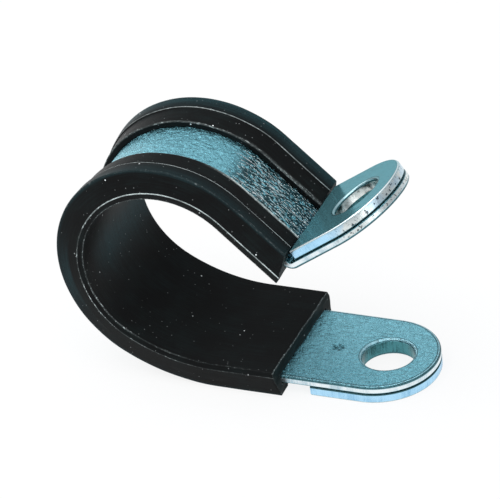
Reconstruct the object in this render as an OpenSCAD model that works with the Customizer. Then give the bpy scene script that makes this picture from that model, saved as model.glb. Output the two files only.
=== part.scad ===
// Rubber-lined P clip, sprung open. One bent steel band carries a rubber channel round its
// ring, and a short stiffening plate is welded to the outer face of each bolt ear.
//
// Frame: the lower bolt hole's axis is Z and its ear points along +X, the ring's axis runs
// along Y, and Z = 0 is the seat under the lower plate, level with the liner's rails.

/* [Band] */
// Width of the steel band
band_w = 15; // [13:0.5:18]
// Thickness of the steel band
band_t = 1; // [0.8:0.05:1.2]
// Chamfer along every edge of the band and the plates
edge_break = 0.2; // [0.1:0.05:0.3]

/* [Opened shape] */
// Lower hole's axis to the start of the rise
foot_run = 19.2; // [16:0.1:22]
// Radius inside the band where the foot rises into the ring
rise_r = 22.8; // [18:0.1:40]
// Angle of that rise
rise_turn = 30.5; // [20:0.5:35]
// Radius inside the band round the ring
ring_r = 12.6; // [12:0.1:16]
// Angle that the ring turns through
ring_turn = 193.5; // [185:0.5:205]
// Straight arm between the ring and the sharp bend
arm_run = 9.1; // [7:0.1:12]
// Radius inside the sharp bend
bend_r = 0.5; // [0.4:0.1:1]
// Angle of the sharp bend
bend_turn = 78.5; // [70:0.5:85]
// End of the sharp bend to the upper hole's axis
ear_run = 8.2; // [8:0.1:11]

/* [Ears and plates] */
// Bolt hole
hole_d = 6.6; // [5:0.1:7]
// Width of the chamfered rim of each hole
hole_rim = 0.35; // [0.2:0.05:0.5]
// Hole's axis to the tip of an ear
tip_run = 6.5; // [6:0.1:7.5]
// Thickness of a stiffening plate
plate_t = 1.25; // [1:0.05:1.5]
// Hole's axis to the squared inner end of a plate
plate_run = 7.7; // [6.8:0.1:7.8]
// Radius of a plate's two inner corners
plate_corner_r = 0.3; // [0.3:0.1:1.5]
// Gap that the weld leaves between a plate and the band
seam = 0.1; // [0.05:0.01:0.15]
// Hole's axis to the spot weld that holds the plate
weld_run = 6.3; // [5.4:0.1:6.4]
// Diameter of the spot weld
weld_d = 1; // [0.6:0.1:1.2]

/* [Liner] */
// Rubber under the band, on the bore side
pad_t = 1.5; // [1.2:0.1:2]
// Full width of the bore face
bore_w = 18.2; // [17.5:0.1:20]
// Full width at the widest line of the side walls
liner_w = 18.7; // [18:0.1:21]
// Height of that widest line above the bore face
knee_rise = 0.7; // [0.5:0.05:1]
// Full width between the rails' shoulders
shoulder_w = 16.9; // [16.5:0.1:18]
// Full width at the step between a rail's two tiers
step_w = 12.4; // [11.5:0.1:13]
// Height of that step
step_h = 0.2; // [0.1:0.05:0.3]
// Bare band between the rails' lips
lip_gap = 7.1; // [6:0.1:9]
// Height of a lip above the band
lip_h = 0.85; // [0.6:0.05:1]
// Fall of a rail's outer tier from its shoulder to the step
tier_fall = 0.15; // [0.05:0.05:0.2]
// Clearance between the rubber and the band
liner_fit = 0.05; // [0.02:0.01:0.1]
// Blend on the rails' shoulders and lips
rubber_blend = 0.25; // [0.15:0.05:0.35]
// Lower hole's axis to the end of the rails
lower_end = 11; // [9:0.1:13]
// Lean of the lower end cut, which leaves the bore side shorter
lower_lean = 9.5; // [0:0.5:15]
// Distance that the rails stop short of the sharp bend
upper_end = 0.9; // [0.9:0.1:1.3]
// Lean of the upper end cut, which leaves the bore side longer
upper_lean = 25; // [20:1:30]

/* [Hidden] */
$fn = 96;

zinc = [0.55, 0.72, 0.77];
black_rubber = [0.07, 0.08, 0.08];

// A round end's centre lies this far from the hole's axis, away from the tip
end_offset = band_w / 2 - tip_run;
// The plate's outer face above the band's outer face, which the rails stand level with
stack_h = seam + plate_t;
// The liner's own depth, from the bore face to the rails' shoulders
liner_depth = stack_h + band_t + pad_t;
// Margin by which a cutting tool passes the faces that it cuts
over = 1;
// Overlap of neighbouring legs, which makes them one solid
lap = 0.02;
// Every other leg is thinner by this much all round, so that no two tangent faces meet
leg_step = 0.004;

// The band's outer face, leg by leg from the lower round end to the upper one. Each row is
// [length of a straight, radius of an arc, turn of an arc]. A positive turn closes the ring.
LEGS = [
    [foot_run - end_offset, 0, 0],
    [0, rise_r + band_t, rise_turn],
    [0, ring_r + band_t, ring_turn],
    [arm_run, 0, 0],
    [0, bend_r, -bend_turn],
    [ear_run - end_offset, 0, 0]
];
FOOT = 0;
ARM = 3;
UPPER_EAR = 5;

// ---- Path -------------------------------------------------------------------------------

// Unit vectors in the XZ plane, along a heading and out of the band at that heading
function ahead(heading) = [cos(heading), sin(heading)];
function outward(heading) = [-sin(heading), cos(heading)];

// Place and heading at the far end of a leg that starts at a point with a heading
function straight_end(point, heading, length) = [point + length * ahead(heading), heading];
function arc_end(point, heading, radius, turn) =
    let (centre = point - sign(turn) * radius * outward(heading))
    [centre + sign(turn) * radius * outward(heading - turn), heading - turn];
function leg_end(from, leg) =
    leg[2] == 0
        ? straight_end(from[0], from[1], leg[0])
        : arc_end(from[0], from[1], leg[1], leg[2]);

// Place and heading at the start of leg i
function leg_start(i) =
    i == 0 ? [[-end_offset, stack_h], 180] : leg_end(leg_start(i - 1), LEGS[i - 1]);

// Local frame at a point of the path: X ahead, Y across the band, Z out of its outer face
module at_path(start) {
    translate([start[0][0], 0, start[0][1]])
        rotate([0, -start[1], 0])
            children();
}

// Local frame at the start of leg i, and at the upper round end's centre
module at_leg(i) {
    at_path(leg_start(i)) children();
}
module at_upper_end() {
    at_path(leg_end(leg_start(UPPER_EAR), LEGS[UPPER_EAR])) children();
}

// Unit normal of the edge from a to b, out of an outline that runs anticlockwise
function edge_normal(a, b) = let (way = (b - a) / norm(b - a)) [way[1], -way[0]];

// An anticlockwise outline with every edge moved outward by a distance, its corners mitred
function grown(outline, by) =
    let (n = len(outline))
    [
        for (i = [0 : n - 1])
            let (
                before = edge_normal(outline[(i + n - 1) % n], outline[i]),
                after = edge_normal(outline[i], outline[(i + 1) % n])
            )
            outline[i] + by * (before + after) / (1 + before * after)
    ];

// Sweeps a section along leg i. The section's X is the height above the band's outer face
// and its Y runs across the band. A straight may run on past its end.
module along_leg(i, section, run_on = lap) {
    length = LEGS[i][0];
    radius = LEGS[i][1];
    turn = LEGS[i][2];
    lap_turn = lap / (radius + band_t) * 180 / PI;
    outline = grown(section, -(i % 2) * leg_step);
    at_leg(i) {
        if (turn == 0)
            translate([length + run_on, 0, 0])
                rotate([0, -90, 0])
                    linear_extrude(length + run_on + lap)
                        polygon(outline);
        else if (turn > 0)
            translate([0, 0, -radius])
                rotate([-90, -90, 0])
                    rotate_extrude(angle = turn + lap_turn)
                        translate([radius, 0]) polygon(outline);
        else
            translate([0, 0, radius])
                rotate([90, 90, 0])
                    rotate_extrude(angle = lap_turn - turn)
                        translate([radius, 0]) mirror([1, 0]) polygon(outline);
    }
}

// ---- Sheet metal ------------------------------------------------------------------------

// Section of a sheet as wide as the band with broken edges, X from low to high
function sheet_section(low, high) =
    let (half = band_w / 2)
    [
        [low, edge_break - half],
        [low + edge_break, -half],
        [high - edge_break, -half],
        [high, edge_break - half],
        [high, half - edge_break],
        [high - edge_break, half],
        [low + edge_break, half],
        [low, half - edge_break]
    ];

// Sector of a round sheet with a broken edge, from 0 to its thickness in Z
module round_sector(radius, thickness, angle) {
    rotate_extrude(angle = angle)
        polygon([
            [0, 0],
            [radius - edge_break, 0],
            [radius, edge_break],
            [radius, thickness - edge_break],
            [radius - edge_break, thickness],
            [0, thickness]
        ]);
}

// The round end of an ear, pointing along +X from its centre
module round_end(thickness) {
    rotate([0, 0, -90]) round_sector(band_w / 2, thickness, 180);
}

// Cutter for a bolt hole with a chamfered rim at one face of a sheet, in a frame where
// the sheet lies between Z = low and Z = high and the rim is at the height rim_at
module bolt_hole(low, high, rim_at) {
    side = rim_at == high ? 0 : 1;
    translate([0, 0, low - over]) cylinder(h = high - low + 2 * over, d = hole_d);
    translate([0, 0, rim_at])
        mirror([0, 0, side])
            translate([0, 0, -hole_rim])
                cylinder(h = 2 * hole_rim, d1 = hole_d, d2 = hole_d + 4 * hole_rim);
}

// Stiffening plate in an ear's own frame: the hole's axis at the origin, the tip along +X,
// the face on the band at Z = seam. The spot weld fills the seam under its inner end.
module stiffening_plate() {
    corner_x = plate_corner_r - plate_run;
    straight_w = band_w - 2 * plate_corner_r;
    difference() {
        union() {
            translate([0, 0, seam]) {
                translate([-end_offset, 0, 0]) round_end(plate_t);
                translate([-end_offset, 0, 0])
                    rotate([0, -90, 0])
                        linear_extrude(-end_offset - corner_x)
                            polygon(sheet_section(0, plate_t));
                translate([corner_x, straight_w / 2, 0])
                    rotate([90, 0, 0])
                        linear_extrude(straight_w)
                            mirror([1, 0]) inner_edge_section();
                for (side = [0, 1])
                    mirror([0, side, 0])
                        translate([corner_x, straight_w / 2, 0])
                            rotate([0, 0, 90])
                                round_sector(plate_corner_r, plate_t, 90);
            }
            translate([-weld_run, 0, 0]) cylinder(h = seam + edge_break, d = weld_d);
        }
        bolt_hole(seam, stack_h, stack_h);
    }
}

// Section of the squared inner end, X from the corners' centre line out to the edge
module inner_edge_section() {
    polygon([
        [0, 0],
        [plate_corner_r - edge_break, 0],
        [plate_corner_r, edge_break],
        [plate_corner_r, plate_t - edge_break],
        [plate_corner_r - edge_break, plate_t],
        [0, plate_t]
    ]);
}

// ---- Rubber -----------------------------------------------------------------------------

// One half of the liner's section as [height above the band's outer face, half width],
// from the bore face round the outside to the lip and back through the band's slot
function liner_half() =
    let (
        bore = -band_t - pad_t,
        step_top = stack_h - tier_fall,
        step_foot = step_top - step_h,
        blend = rubber_blend,
        slot_half = band_w / 2 + liner_fit
    )
    [
        [bore, bore_w / 2],
        [bore + knee_rise, liner_w / 2],
        [stack_h - blend, shoulder_w / 2 + blend / 3],
        [stack_h - blend / 4, shoulder_w / 2 - blend / 3],
        [stack_h, shoulder_w / 2 - blend],
        [step_top, step_w / 2 + step_h],
        [step_foot, step_w / 2],
        [lip_h, lip_gap / 2 + blend],
        [lip_h - blend / 3, lip_gap / 2 + blend / 4],
        [lip_h - blend, lip_gap / 2],
        [liner_fit, lip_gap / 2],
        [liner_fit, slot_half],
        [-band_t - liner_fit, slot_half]
    ];

// The whole section, anticlockwise: its mirrored half, then that half in reverse
function liner_section() =
    let (half = liner_half(), last = len(half) - 1)
    concat(
        [for (point = half) [point[0], -point[1]]],
        [for (i = [last : -1 : 0]) half[i]]
    );

// Block that trims the liner behind a leaning plane through the rails' shoulder line. It
// lies ahead of the plane for way = 1 and behind it for way = -1.
module end_cut(along, lean, way) {
    reach = foot_run + liner_w;
    translate([along, 0, stack_h])
        rotate([0, -lean, 0])
            translate([way * reach / 2, 0, -liner_depth / 2])
                cube([reach, liner_w + 2 * over, 2 * liner_depth], center = true);
}

// ---- Pieces -----------------------------------------------------------------------------

// The band, bent from one strip: lower ear, foot, ring, arm, sharp bend and upper ear
module strap() {
    color(zinc) difference() {
        union() {
            for (i = [0 : len(LEGS) - 1])
                along_leg(i, sheet_section(-band_t, 0));
            at_leg(FOOT) translate([0, 0, -band_t]) rotate([0, 0, 180]) round_end(band_t);
            at_upper_end() translate([0, 0, -band_t]) round_end(band_t);
        }
        at_leg(FOOT) translate([-end_offset, 0, 0]) bolt_hole(-band_t, 0, -band_t);
        at_upper_end() translate([end_offset, 0, 0]) bolt_hole(-band_t, 0, -band_t);
    }
}

// The extruded rubber channel, folded over the band's edges and cut off at both ends
module liner() {
    color(black_rubber) difference() {
        union() {
            for (i = [FOOT : ARM])
                along_leg(i, liner_section(), i == ARM ? liner_depth : lap);
        }
        at_leg(FOOT) end_cut(lower_end - end_offset, lower_lean, -1);
        at_leg(ARM) end_cut(arm_run - upper_end, upper_lean, 1);
    }
}

// The plate under the lower ear, whose underside is the seat
module lower_plate() {
    color(zinc)
        at_leg(FOOT)
            translate([-end_offset, 0, 0])
                rotate([0, 0, 180])
                    stiffening_plate();
}

// The same plate on the outer face of the upper ear
module upper_plate() {
    color(zinc) at_upper_end() translate([end_offset, 0, 0]) stiffening_plate();
}

strap();
liner();
lower_plate();
upper_plate();
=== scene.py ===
"""A rubber-lined P clip, sprung open, dressed for a studio picture.

Every size is in metres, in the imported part's own frame: the lower bolt hole's axis is Z,
its ear points along +X, the ring's axis runs along Y, and Z = 0 is the seat under the clip.
The band, the liner and the plates are all laid out flat along the band's outer face, as
distance along it, place across it and height out of it, and then bent round one path.
"""

import logging
import math
from dataclasses import dataclass, field, replace
from enum import Enum, IntEnum
from typing import Callable

import bmesh
import bpy
import numpy as np
from mathutils import Matrix, Vector, geometry


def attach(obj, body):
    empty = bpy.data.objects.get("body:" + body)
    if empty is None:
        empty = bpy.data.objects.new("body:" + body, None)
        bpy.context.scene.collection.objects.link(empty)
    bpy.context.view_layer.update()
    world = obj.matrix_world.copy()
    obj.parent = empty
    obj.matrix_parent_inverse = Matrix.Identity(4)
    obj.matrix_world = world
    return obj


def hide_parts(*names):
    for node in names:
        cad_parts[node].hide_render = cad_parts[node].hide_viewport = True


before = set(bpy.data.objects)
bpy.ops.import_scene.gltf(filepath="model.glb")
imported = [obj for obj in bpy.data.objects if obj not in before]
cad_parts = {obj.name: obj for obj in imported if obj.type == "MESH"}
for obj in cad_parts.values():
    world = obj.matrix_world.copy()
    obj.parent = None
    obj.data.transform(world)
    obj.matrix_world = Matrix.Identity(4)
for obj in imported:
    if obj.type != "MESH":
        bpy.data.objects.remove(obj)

MM = 0.001
BODY = "root"
LOG = logging.getLogger("p_clip")

# The arm's number among the legs of the band's path
ARM_LEG = 3
# Vertices closer than this are one, in metres
MERGE_DISTANCE = 1e-8
# Points closer than this are one while a face is filled, in millimetres
FILL_TOLERANCE = 1e-5
# Keeps a length that is a whole number of steps from getting one step more
STEP_SLACK = 1e-6

Colour = tuple[float, float, float]


class Slot(Enum):
    """The record's material slots."""

    ZINC = "zinc_plated_steel"
    RUBBER = "black_rubber"


class SheetFace(IntEnum):
    """A sheet-metal piece's materials, by their place on the mesh."""

    ROLLED = 0
    EDGE = 1
    HOLE_WALL = 2


class RubberFace(IntEnum):
    """The liner's materials, by their place on the mesh."""

    SKIN = 0
    CUT = 1


@dataclass(frozen=True)
class ClipSizes:
    """The clip's driving sizes, in metres and radians."""

    band_width: float = 15 * MM
    band_thickness: float = 1 * MM
    foot_run: float = 19.2 * MM
    rise_radius: float = 22.8 * MM
    rise_turn: float = math.radians(30.5)
    ring_radius: float = 12.6 * MM
    ring_turn: float = math.radians(193.5)
    arm_run: float = 9.1 * MM
    bend_radius: float = 0.5 * MM
    bend_turn: float = math.radians(78.5)
    ear_run: float = 8.2 * MM
    hole_diameter: float = 6.6 * MM
    hole_rim: float = 0.35 * MM
    tip_run: float = 6.5 * MM
    plate_thickness: float = 1.25 * MM
    plate_run: float = 7.7 * MM
    plate_corner: float = 0.3 * MM
    seam: float = 0.1 * MM
    lower_end: float = 11 * MM
    lower_lean: float = math.radians(9.5)
    upper_end: float = 0.9 * MM
    upper_lean: float = math.radians(25)

    @property
    def end_offset(self) -> float:
        """Distance of a round end's centre from its hole, away from the tip."""
        return self.band_width / 2 - self.tip_run

    @property
    def stack_height(self) -> float:
        """Height of a plate's outer face above the band's outer face."""
        return self.seam + self.plate_thickness


# ---- The path that everything follows --------------------------------------------------------


@dataclass(frozen=True)
class Leg:
    """One straight or bend of the band's outer face. A positive turn closes the ring."""

    length: float
    radius: float = 0.0
    turn: float = 0.0

    @classmethod
    def bend(cls, radius: float, turn: float) -> "Leg":
        """A bend whose length follows from its radius and its turn."""
        return cls(radius * abs(turn), radius, turn)


class BandPath:
    """The band's outer face as a path in the XZ plane, from the lower hole to the upper one."""

    def __init__(self, legs: list[Leg], start_height: float) -> None:
        """Chains the legs.

        Args:
            legs: the straights and bends, in order.
            start_height: height of the path's first point, over the lower hole's seat.
        """
        self.legs = legs
        self.starts: list[tuple[float, np.ndarray, float]] = []
        along, point, heading = 0.0, np.array([0.0, start_height]), math.pi
        for leg in legs:
            self.starts.append((along, point, heading))
            point, heading = self._leg_point(leg, point, heading, leg.length)
            along += leg.length
        self.length = along

    @staticmethod
    def _out(heading: float | np.ndarray) -> np.ndarray:
        """Unit vectors out of the band's outer face at a heading."""
        return np.stack([-np.sin(heading), np.cos(heading)], -1)

    def _leg_point(
        self, leg: Leg, point: np.ndarray, heading: float, run: float | np.ndarray
    ) -> tuple[np.ndarray, float | np.ndarray]:
        """Places and headings at a distance into a leg.

        Args:
            leg: the leg.
            point: where it starts.
            heading: which way it starts.
            run: the distance or distances into it.

        Returns:
            The points and the headings there.
        """
        if leg.turn == 0:
            ahead = np.array([math.cos(heading), math.sin(heading)])
            return point + np.multiply.outer(run, ahead), heading + 0 * run
        side = math.copysign(leg.radius, leg.turn)
        centre = point - side * self._out(heading)
        now = heading - leg.turn * run / leg.length
        return centre + side * self._out(now), now

    def start_of(self, number: int) -> float:
        """Distance along the path at which a leg starts."""
        return self.starts[number][0]

    def place(self, along: np.ndarray, across: np.ndarray, height: np.ndarray) -> np.ndarray:
        """Bends flat points round the path.

        Args:
            along: distances along the outer face from the lower hole.
            across: places across the band.
            height: heights out of the outer face.

        Returns:
            Points in the part's frame, one row each.
        """
        along, across, height = np.broadcast_arrays(along, across, height)
        cuts = np.array([start[0] for start in self.starts[1:]])
        which = np.searchsorted(cuts, along, side="right")
        points = np.zeros(along.shape + (3,))
        for number, leg in enumerate(self.legs):
            mine = which == number
            begin, point, heading = self.starts[number]
            base, now = self._leg_point(leg, point, heading, along[mine] - begin)
            lifted = base + height[mine][:, None] * self._out(now)
            points[mine] = np.stack([lifted[:, 0], across[mine], lifted[:, 1]], -1)
        return points

    def stations(
        self, low: float, high: float, straight_step: float, bend_step: float
    ) -> np.ndarray:
        """Distances along the path that follow its bends closely.

        Args:
            low: the first distance.
            high: the last distance.
            straight_step: the longest step on a straight.
            bend_step: the largest turn of a step in a bend, in radians.

        Returns:
            The distances, with both ends and every start of a leg between them.
        """
        marks = sorted([low, high] + [start[0] for start in self.starts if low < start[0] < high])
        runs = []
        for begin, end in zip(marks[:-1], marks[1:]):
            middle = (begin + end) / 2
            number = max(i for i, start in enumerate(self.starts) if start[0] <= max(middle, 0))
            leg = self.legs[number]
            pitch = straight_step if leg.turn == 0 else bend_step * leg.radius
            count = max(1, math.ceil((end - begin) / min(pitch, straight_step) - STEP_SLACK))
            runs.append(np.linspace(begin, end, count, endpoint=False))
        return np.concatenate(runs + [[high]])


def band_path(sizes: ClipSizes) -> BandPath:
    """The whole band's path, sharp bend and upper ear included.

    Args:
        sizes: the clip's sizes.

    Returns:
        The path.
    """
    thickness = sizes.band_thickness
    legs = [
        Leg(sizes.foot_run),
        Leg.bend(sizes.rise_radius + thickness, sizes.rise_turn),
        Leg.bend(sizes.ring_radius + thickness, sizes.ring_turn),
        Leg(sizes.arm_run),
        Leg.bend(sizes.bend_radius, -sizes.bend_turn),
        Leg(sizes.ear_run),
    ]
    return BandPath(legs, sizes.stack_height)


def liner_path(sizes: ClipSizes) -> BandPath:
    """The liner's path, which runs straight on past the end of the arm."""
    return BandPath(band_path(sizes).legs[: ARM_LEG + 1], sizes.stack_height)


# ---- Meshes ----------------------------------------------------------------------------------


def new_piece(
    name: str, points: np.ndarray, faces: list[tuple[int, ...]], finishes: list[bpy.types.Material]
) -> bpy.types.Object:
    """Links a mesh object that sits at the origin.

    Args:
        name: the piece's name.
        points: one row a vertex, in metres.
        faces: each face's vertices.
        finishes: the materials of its slots.

    Returns:
        The object.
    """
    mesh = bpy.data.meshes.new(name)
    mesh.from_pydata([tuple(point) for point in points], [], faces)
    for finish in finishes:
        mesh.materials.append(finish)
    piece = bpy.data.objects.new(name, mesh)
    bpy.context.scene.collection.objects.link(piece)
    return piece


def close_and_smooth(piece: bpy.types.Object, crease: float) -> None:
    """Merges doubles, turns the faces outward and shades them smooth up to a crease.

    Args:
        piece: a closed mesh.
        crease: the angle above which an edge stays sharp, in radians.
    """
    shell = bmesh.new()
    shell.from_mesh(piece.data)
    bmesh.ops.remove_doubles(shell, verts=shell.verts, dist=MERGE_DISTANCE)
    bmesh.ops.recalc_face_normals(shell, faces=shell.faces)
    shell.to_mesh(piece.data)
    shell.free()
    piece.data.shade_smooth()
    piece.data.set_sharp_from_angle(angle=crease)


def ramped(place: np.ndarray | float, start: float, run: float) -> np.ndarray | float:
    """How far a place has come along a run.

    Args:
        place: the place, or many of them.
        start: where the run starts.
        run: its length.

    Returns:
        0 before the start, 1 past the end and the share between them.
    """
    return np.clip((place - start) / run, 0, 1)


def swell(run: np.ndarray, turn: float, phase: np.ndarray) -> np.ndarray:
    """A wave between 0 and 1.

    Args:
        run: distances in millimetres.
        turn: its turn in a millimetre.
        phase: its phase.

    Returns:
        Its height at each distance.
    """
    return 0.5 + 0.5 * np.sin(turn * run + phase)


def direction(azimuth: float, elevation: float) -> Vector:
    """A unit vector.

    Args:
        azimuth: its turn about Z from +X.
        elevation: its rise above the level.

    Returns:
        The vector.
    """
    flat = math.cos(elevation)
    return Vector((flat * math.cos(azimuth), flat * math.sin(azimuth), math.sin(elevation)))


def arc(
    centre: tuple[float, float], radius: float, start: float, end: float, count: int
) -> np.ndarray:
    """Points along an arc in the flat, both ends included.

    Args:
        centre: its centre, along and across.
        radius: its radius.
        start: the first angle, in degrees.
        end: the last angle, in degrees.
        count: how many steps it has.

    Returns:
        The points, one row each.
    """
    angles = np.radians(np.linspace(start, end, count + 1))
    return np.stack([centre[0] + radius * np.cos(angles), centre[1] + radius * np.sin(angles)], -1)


def moved_in(loop: np.ndarray, inset: float) -> np.ndarray:
    """A loop moved to its left, which is into the sheet that it bounds.

    Args:
        loop: the loop's points in the flat.
        inset: the distance, negative for a move to the right.

    Returns:
        The moved points, in the same order.
    """
    runs = (loop - np.roll(loop, 1, axis=0), np.roll(loop, -1, axis=0) - loop)
    before, after = (
        np.stack([-run[:, 1], run[:, 0]], -1) / np.linalg.norm(run, axis=1)[:, None] for run in runs
    )
    share = 1 + (before * after).sum(axis=1)
    return loop + inset * (before + after) / share[:, None]


def inside_by(points: np.ndarray, loop: np.ndarray, margin: float) -> np.ndarray:
    """Which points lie inside a closed loop and farther from it than a margin.

    Args:
        points: places in the flat.
        loop: the loop.
        margin: the least distance from it.

    Returns:
        A mask of the points.
    """
    following = np.roll(loop, -1, axis=0)
    crossings = np.zeros(len(points), int)
    clear = np.ones(len(points), bool)
    for begin, end in zip(loop, following):
        run = end - begin
        share = np.clip(((points - begin) @ run) / float(run @ run), 0, 1)
        clear &= np.linalg.norm(points - begin - share[:, None] * run, axis=1) > margin
        if run[1] != 0:
            spans = (begin[1] > points[:, 1]) != (end[1] > points[:, 1])
            meets = begin[0] + (points[:, 1] - begin[1]) * run[0] / run[1]
            crossings += spans & (points[:, 0] < meets)
    return clear & (crossings % 2 == 1)


def fill(loops: list[np.ndarray], inner: np.ndarray) -> tuple[np.ndarray, np.ndarray]:
    """Triangulates a region with holes.

    Args:
        loops: its outline, anticlockwise, and then its round holes, clockwise.
        inner: extra points inside it.

    Returns:
        The points, the loops' own first and in order, and the triangles, anticlockwise.

    Raises:
        ValueError: a loop crosses or touches itself or another.
    """
    rims = np.concatenate(loops)
    flat = np.concatenate([rims, inner]) if len(inner) else rims
    edges, first = [], 0
    for loop in loops:
        count = len(loop)
        edges += [(first + i, first + (i + 1) % count) for i in range(count)]
        first += count
    scaled = [Vector(point / MM) for point in flat]
    found = geometry.delaunay_2d_cdt(scaled, edges, [], 1, FILL_TOLERANCE)
    points = np.array([tuple(point) for point in found[0]]) * MM
    triangles = np.array([tuple(face) for face in found[2]])
    centres = points[triangles].mean(axis=1)
    keep = np.ones(len(triangles), bool)
    for hole in loops[1:]:
        middle = hole.mean(axis=0)
        chord = np.linalg.norm(hole[0] - middle) * math.cos(math.pi / len(hole))
        keep &= np.linalg.norm(centres - middle, axis=1) > chord
    order = np.full(len(points), len(flat))
    for new, olds in enumerate(found[3]):
        order[new] = min(olds, default=len(flat))
    back = np.argsort(order, kind="stable")
    if not np.array_equal(order[back][: len(rims)], np.arange(len(rims))):
        raise ValueError("the outline of a face crosses or touches itself")
    place = np.empty_like(back)
    place[back] = np.arange(len(back))
    points = points[back]
    points[: len(rims)] = rims
    return points, place[triangles[keep]]


@dataclass(frozen=True)
class EdgeRing:
    """One ring of a sheet's edge: its inset, its depth below the face, and how strong its painted
    highlight and its painted shade are.
    """

    inset: float
    depth: float
    # The first of the two values below is a painted highlight and the second a painted shade.
    burnish: float = 0.0
    grime: float = 0.0


def rings_mm(*rows: tuple[float, ...]) -> tuple[EdgeRing, ...]:
    """Rings from rows of inset and depth in millimetres, and then of painted highlight and painted
    shade.
    """
    return tuple(EdgeRing(row[0] * MM, row[1] * MM, *row[2:]) for row in rows)


class EdgeShape(Enum):
    """The shapes that a cut edge takes where it meets a face, from the face to the wall.

    A bare face droops before its corner, and shade is painted dark into that line and under the
    corner.
    Next to the seam the corner is small and painted dark as shade, and a rim's chamfer is painted
    pale as a highlight.
    """

    # Rows: inset and depth in millimetres, then painted highlight, then painted shade.
    ROLLED = rings_mm(
        (0.47, 0), (0.41, 0, 0.0, 1.0), (0.34, 0.004, 0.0, 1.0), (0.29, 0.01, 0.12),
        (0.18, 0.03, 0.2), (0.13, 0.05, 0.0, 1.0), (0.06, 0.10, 0.0, 1.0),
        (0.015, 0.17, 0.0, 1.0), (0, 0.26, 0.0, 0.9), (0, 0.34, 0.5),
    )
    PRESSED = rings_mm(
        (0.28, 0), (0.25, 0, 0.0, 0.5), (0.21, 0.004, 0.0, 0.5), (0.18, 0.01, 0.3),
        (0.12, 0.03, 0.9), (0.07, 0.07, 0.9), (0.03, 0.13, 0.5), (0, 0.20, 0.2),
    )
    SEAM = rings_mm(
        (0.27, 0), (0.14, 0, 0.0, 1.0), (0.08, 0.02, 0.0, 1.0), (0.03, 0.06, 0.0, 1.0),
        (0, 0.12, 0.0, 0.8), (0, 0.16, 0.0, 0.0),
    )
    HOLE_RIM = rings_mm(
        (0.42, 0), (0.37, 0, 0.0, 0.9), (0.31, 0.004, 0.0, 0.8), (0.27, 0.012, 0.1),
        (0.18, 0.05, 0.28), (0.10, 0.12, 0.28), (0.04, 0.21, 0.1), (0.02, 0.26, 0.0, 1.0),
        (0, 0.33, 0.0, 0.9), (0, 0.40),
    )
    HOLE_SEAM = rings_mm((0.34, 0), (0.08, 0), (0, 0))
    HOLE_BURR = rings_mm((0.34, 0), (0.08, 0), (0, -0.096))


def edge_rings(
    outer: EdgeShape, inner: EdgeShape, low: float, high: float
) -> tuple[list[EdgeRing], int]:
    """The rings of a sheet's whole edge, with heights in place of depths.

    Args:
        outer: the edge's shape at the outer face.
        inner: its shape at the inner face.
        low: height of the inner face.
        high: height of the outer face.

    Returns:
        The rings from the outer face to the inner one, and how many come before the wall.
    """
    down = [replace(ring, depth=high - ring.depth) for ring in outer.value]
    up = [replace(ring, depth=low + ring.depth) for ring in inner.value]
    return down + up[::-1], len(down)


# Height to add to a face at places along and across, and the painted shade and weld stain there.
# The last argument tells the outer face from the inner one.
Relief = Callable[[np.ndarray, np.ndarray, bool], tuple[np.ndarray, np.ndarray]]


def add_layers(mesh: bpy.types.Mesh, layout: np.ndarray, wear: dict[str, np.ndarray]) -> None:
    """Stores a flat layout as a UV map, and painted light and marks as attributes.

    Args:
        mesh: the mesh.
        layout: each vertex's place in the layout, in metres.
        wear: each attribute's value a vertex, by name.
    """
    corner = np.empty(len(mesh.loops), np.int32)
    mesh.loops.foreach_get("vertex_index", corner)
    uv = mesh.uv_layers.new(name="layout")
    uv.data.foreach_set("uv", (layout[corner] / MM).astype(np.float32).ravel())
    for name, values in wear.items():
        layer = mesh.attributes.new(name, "FLOAT", "POINT")
        layer.data.foreach_set("value", values.astype(np.float32))


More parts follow.
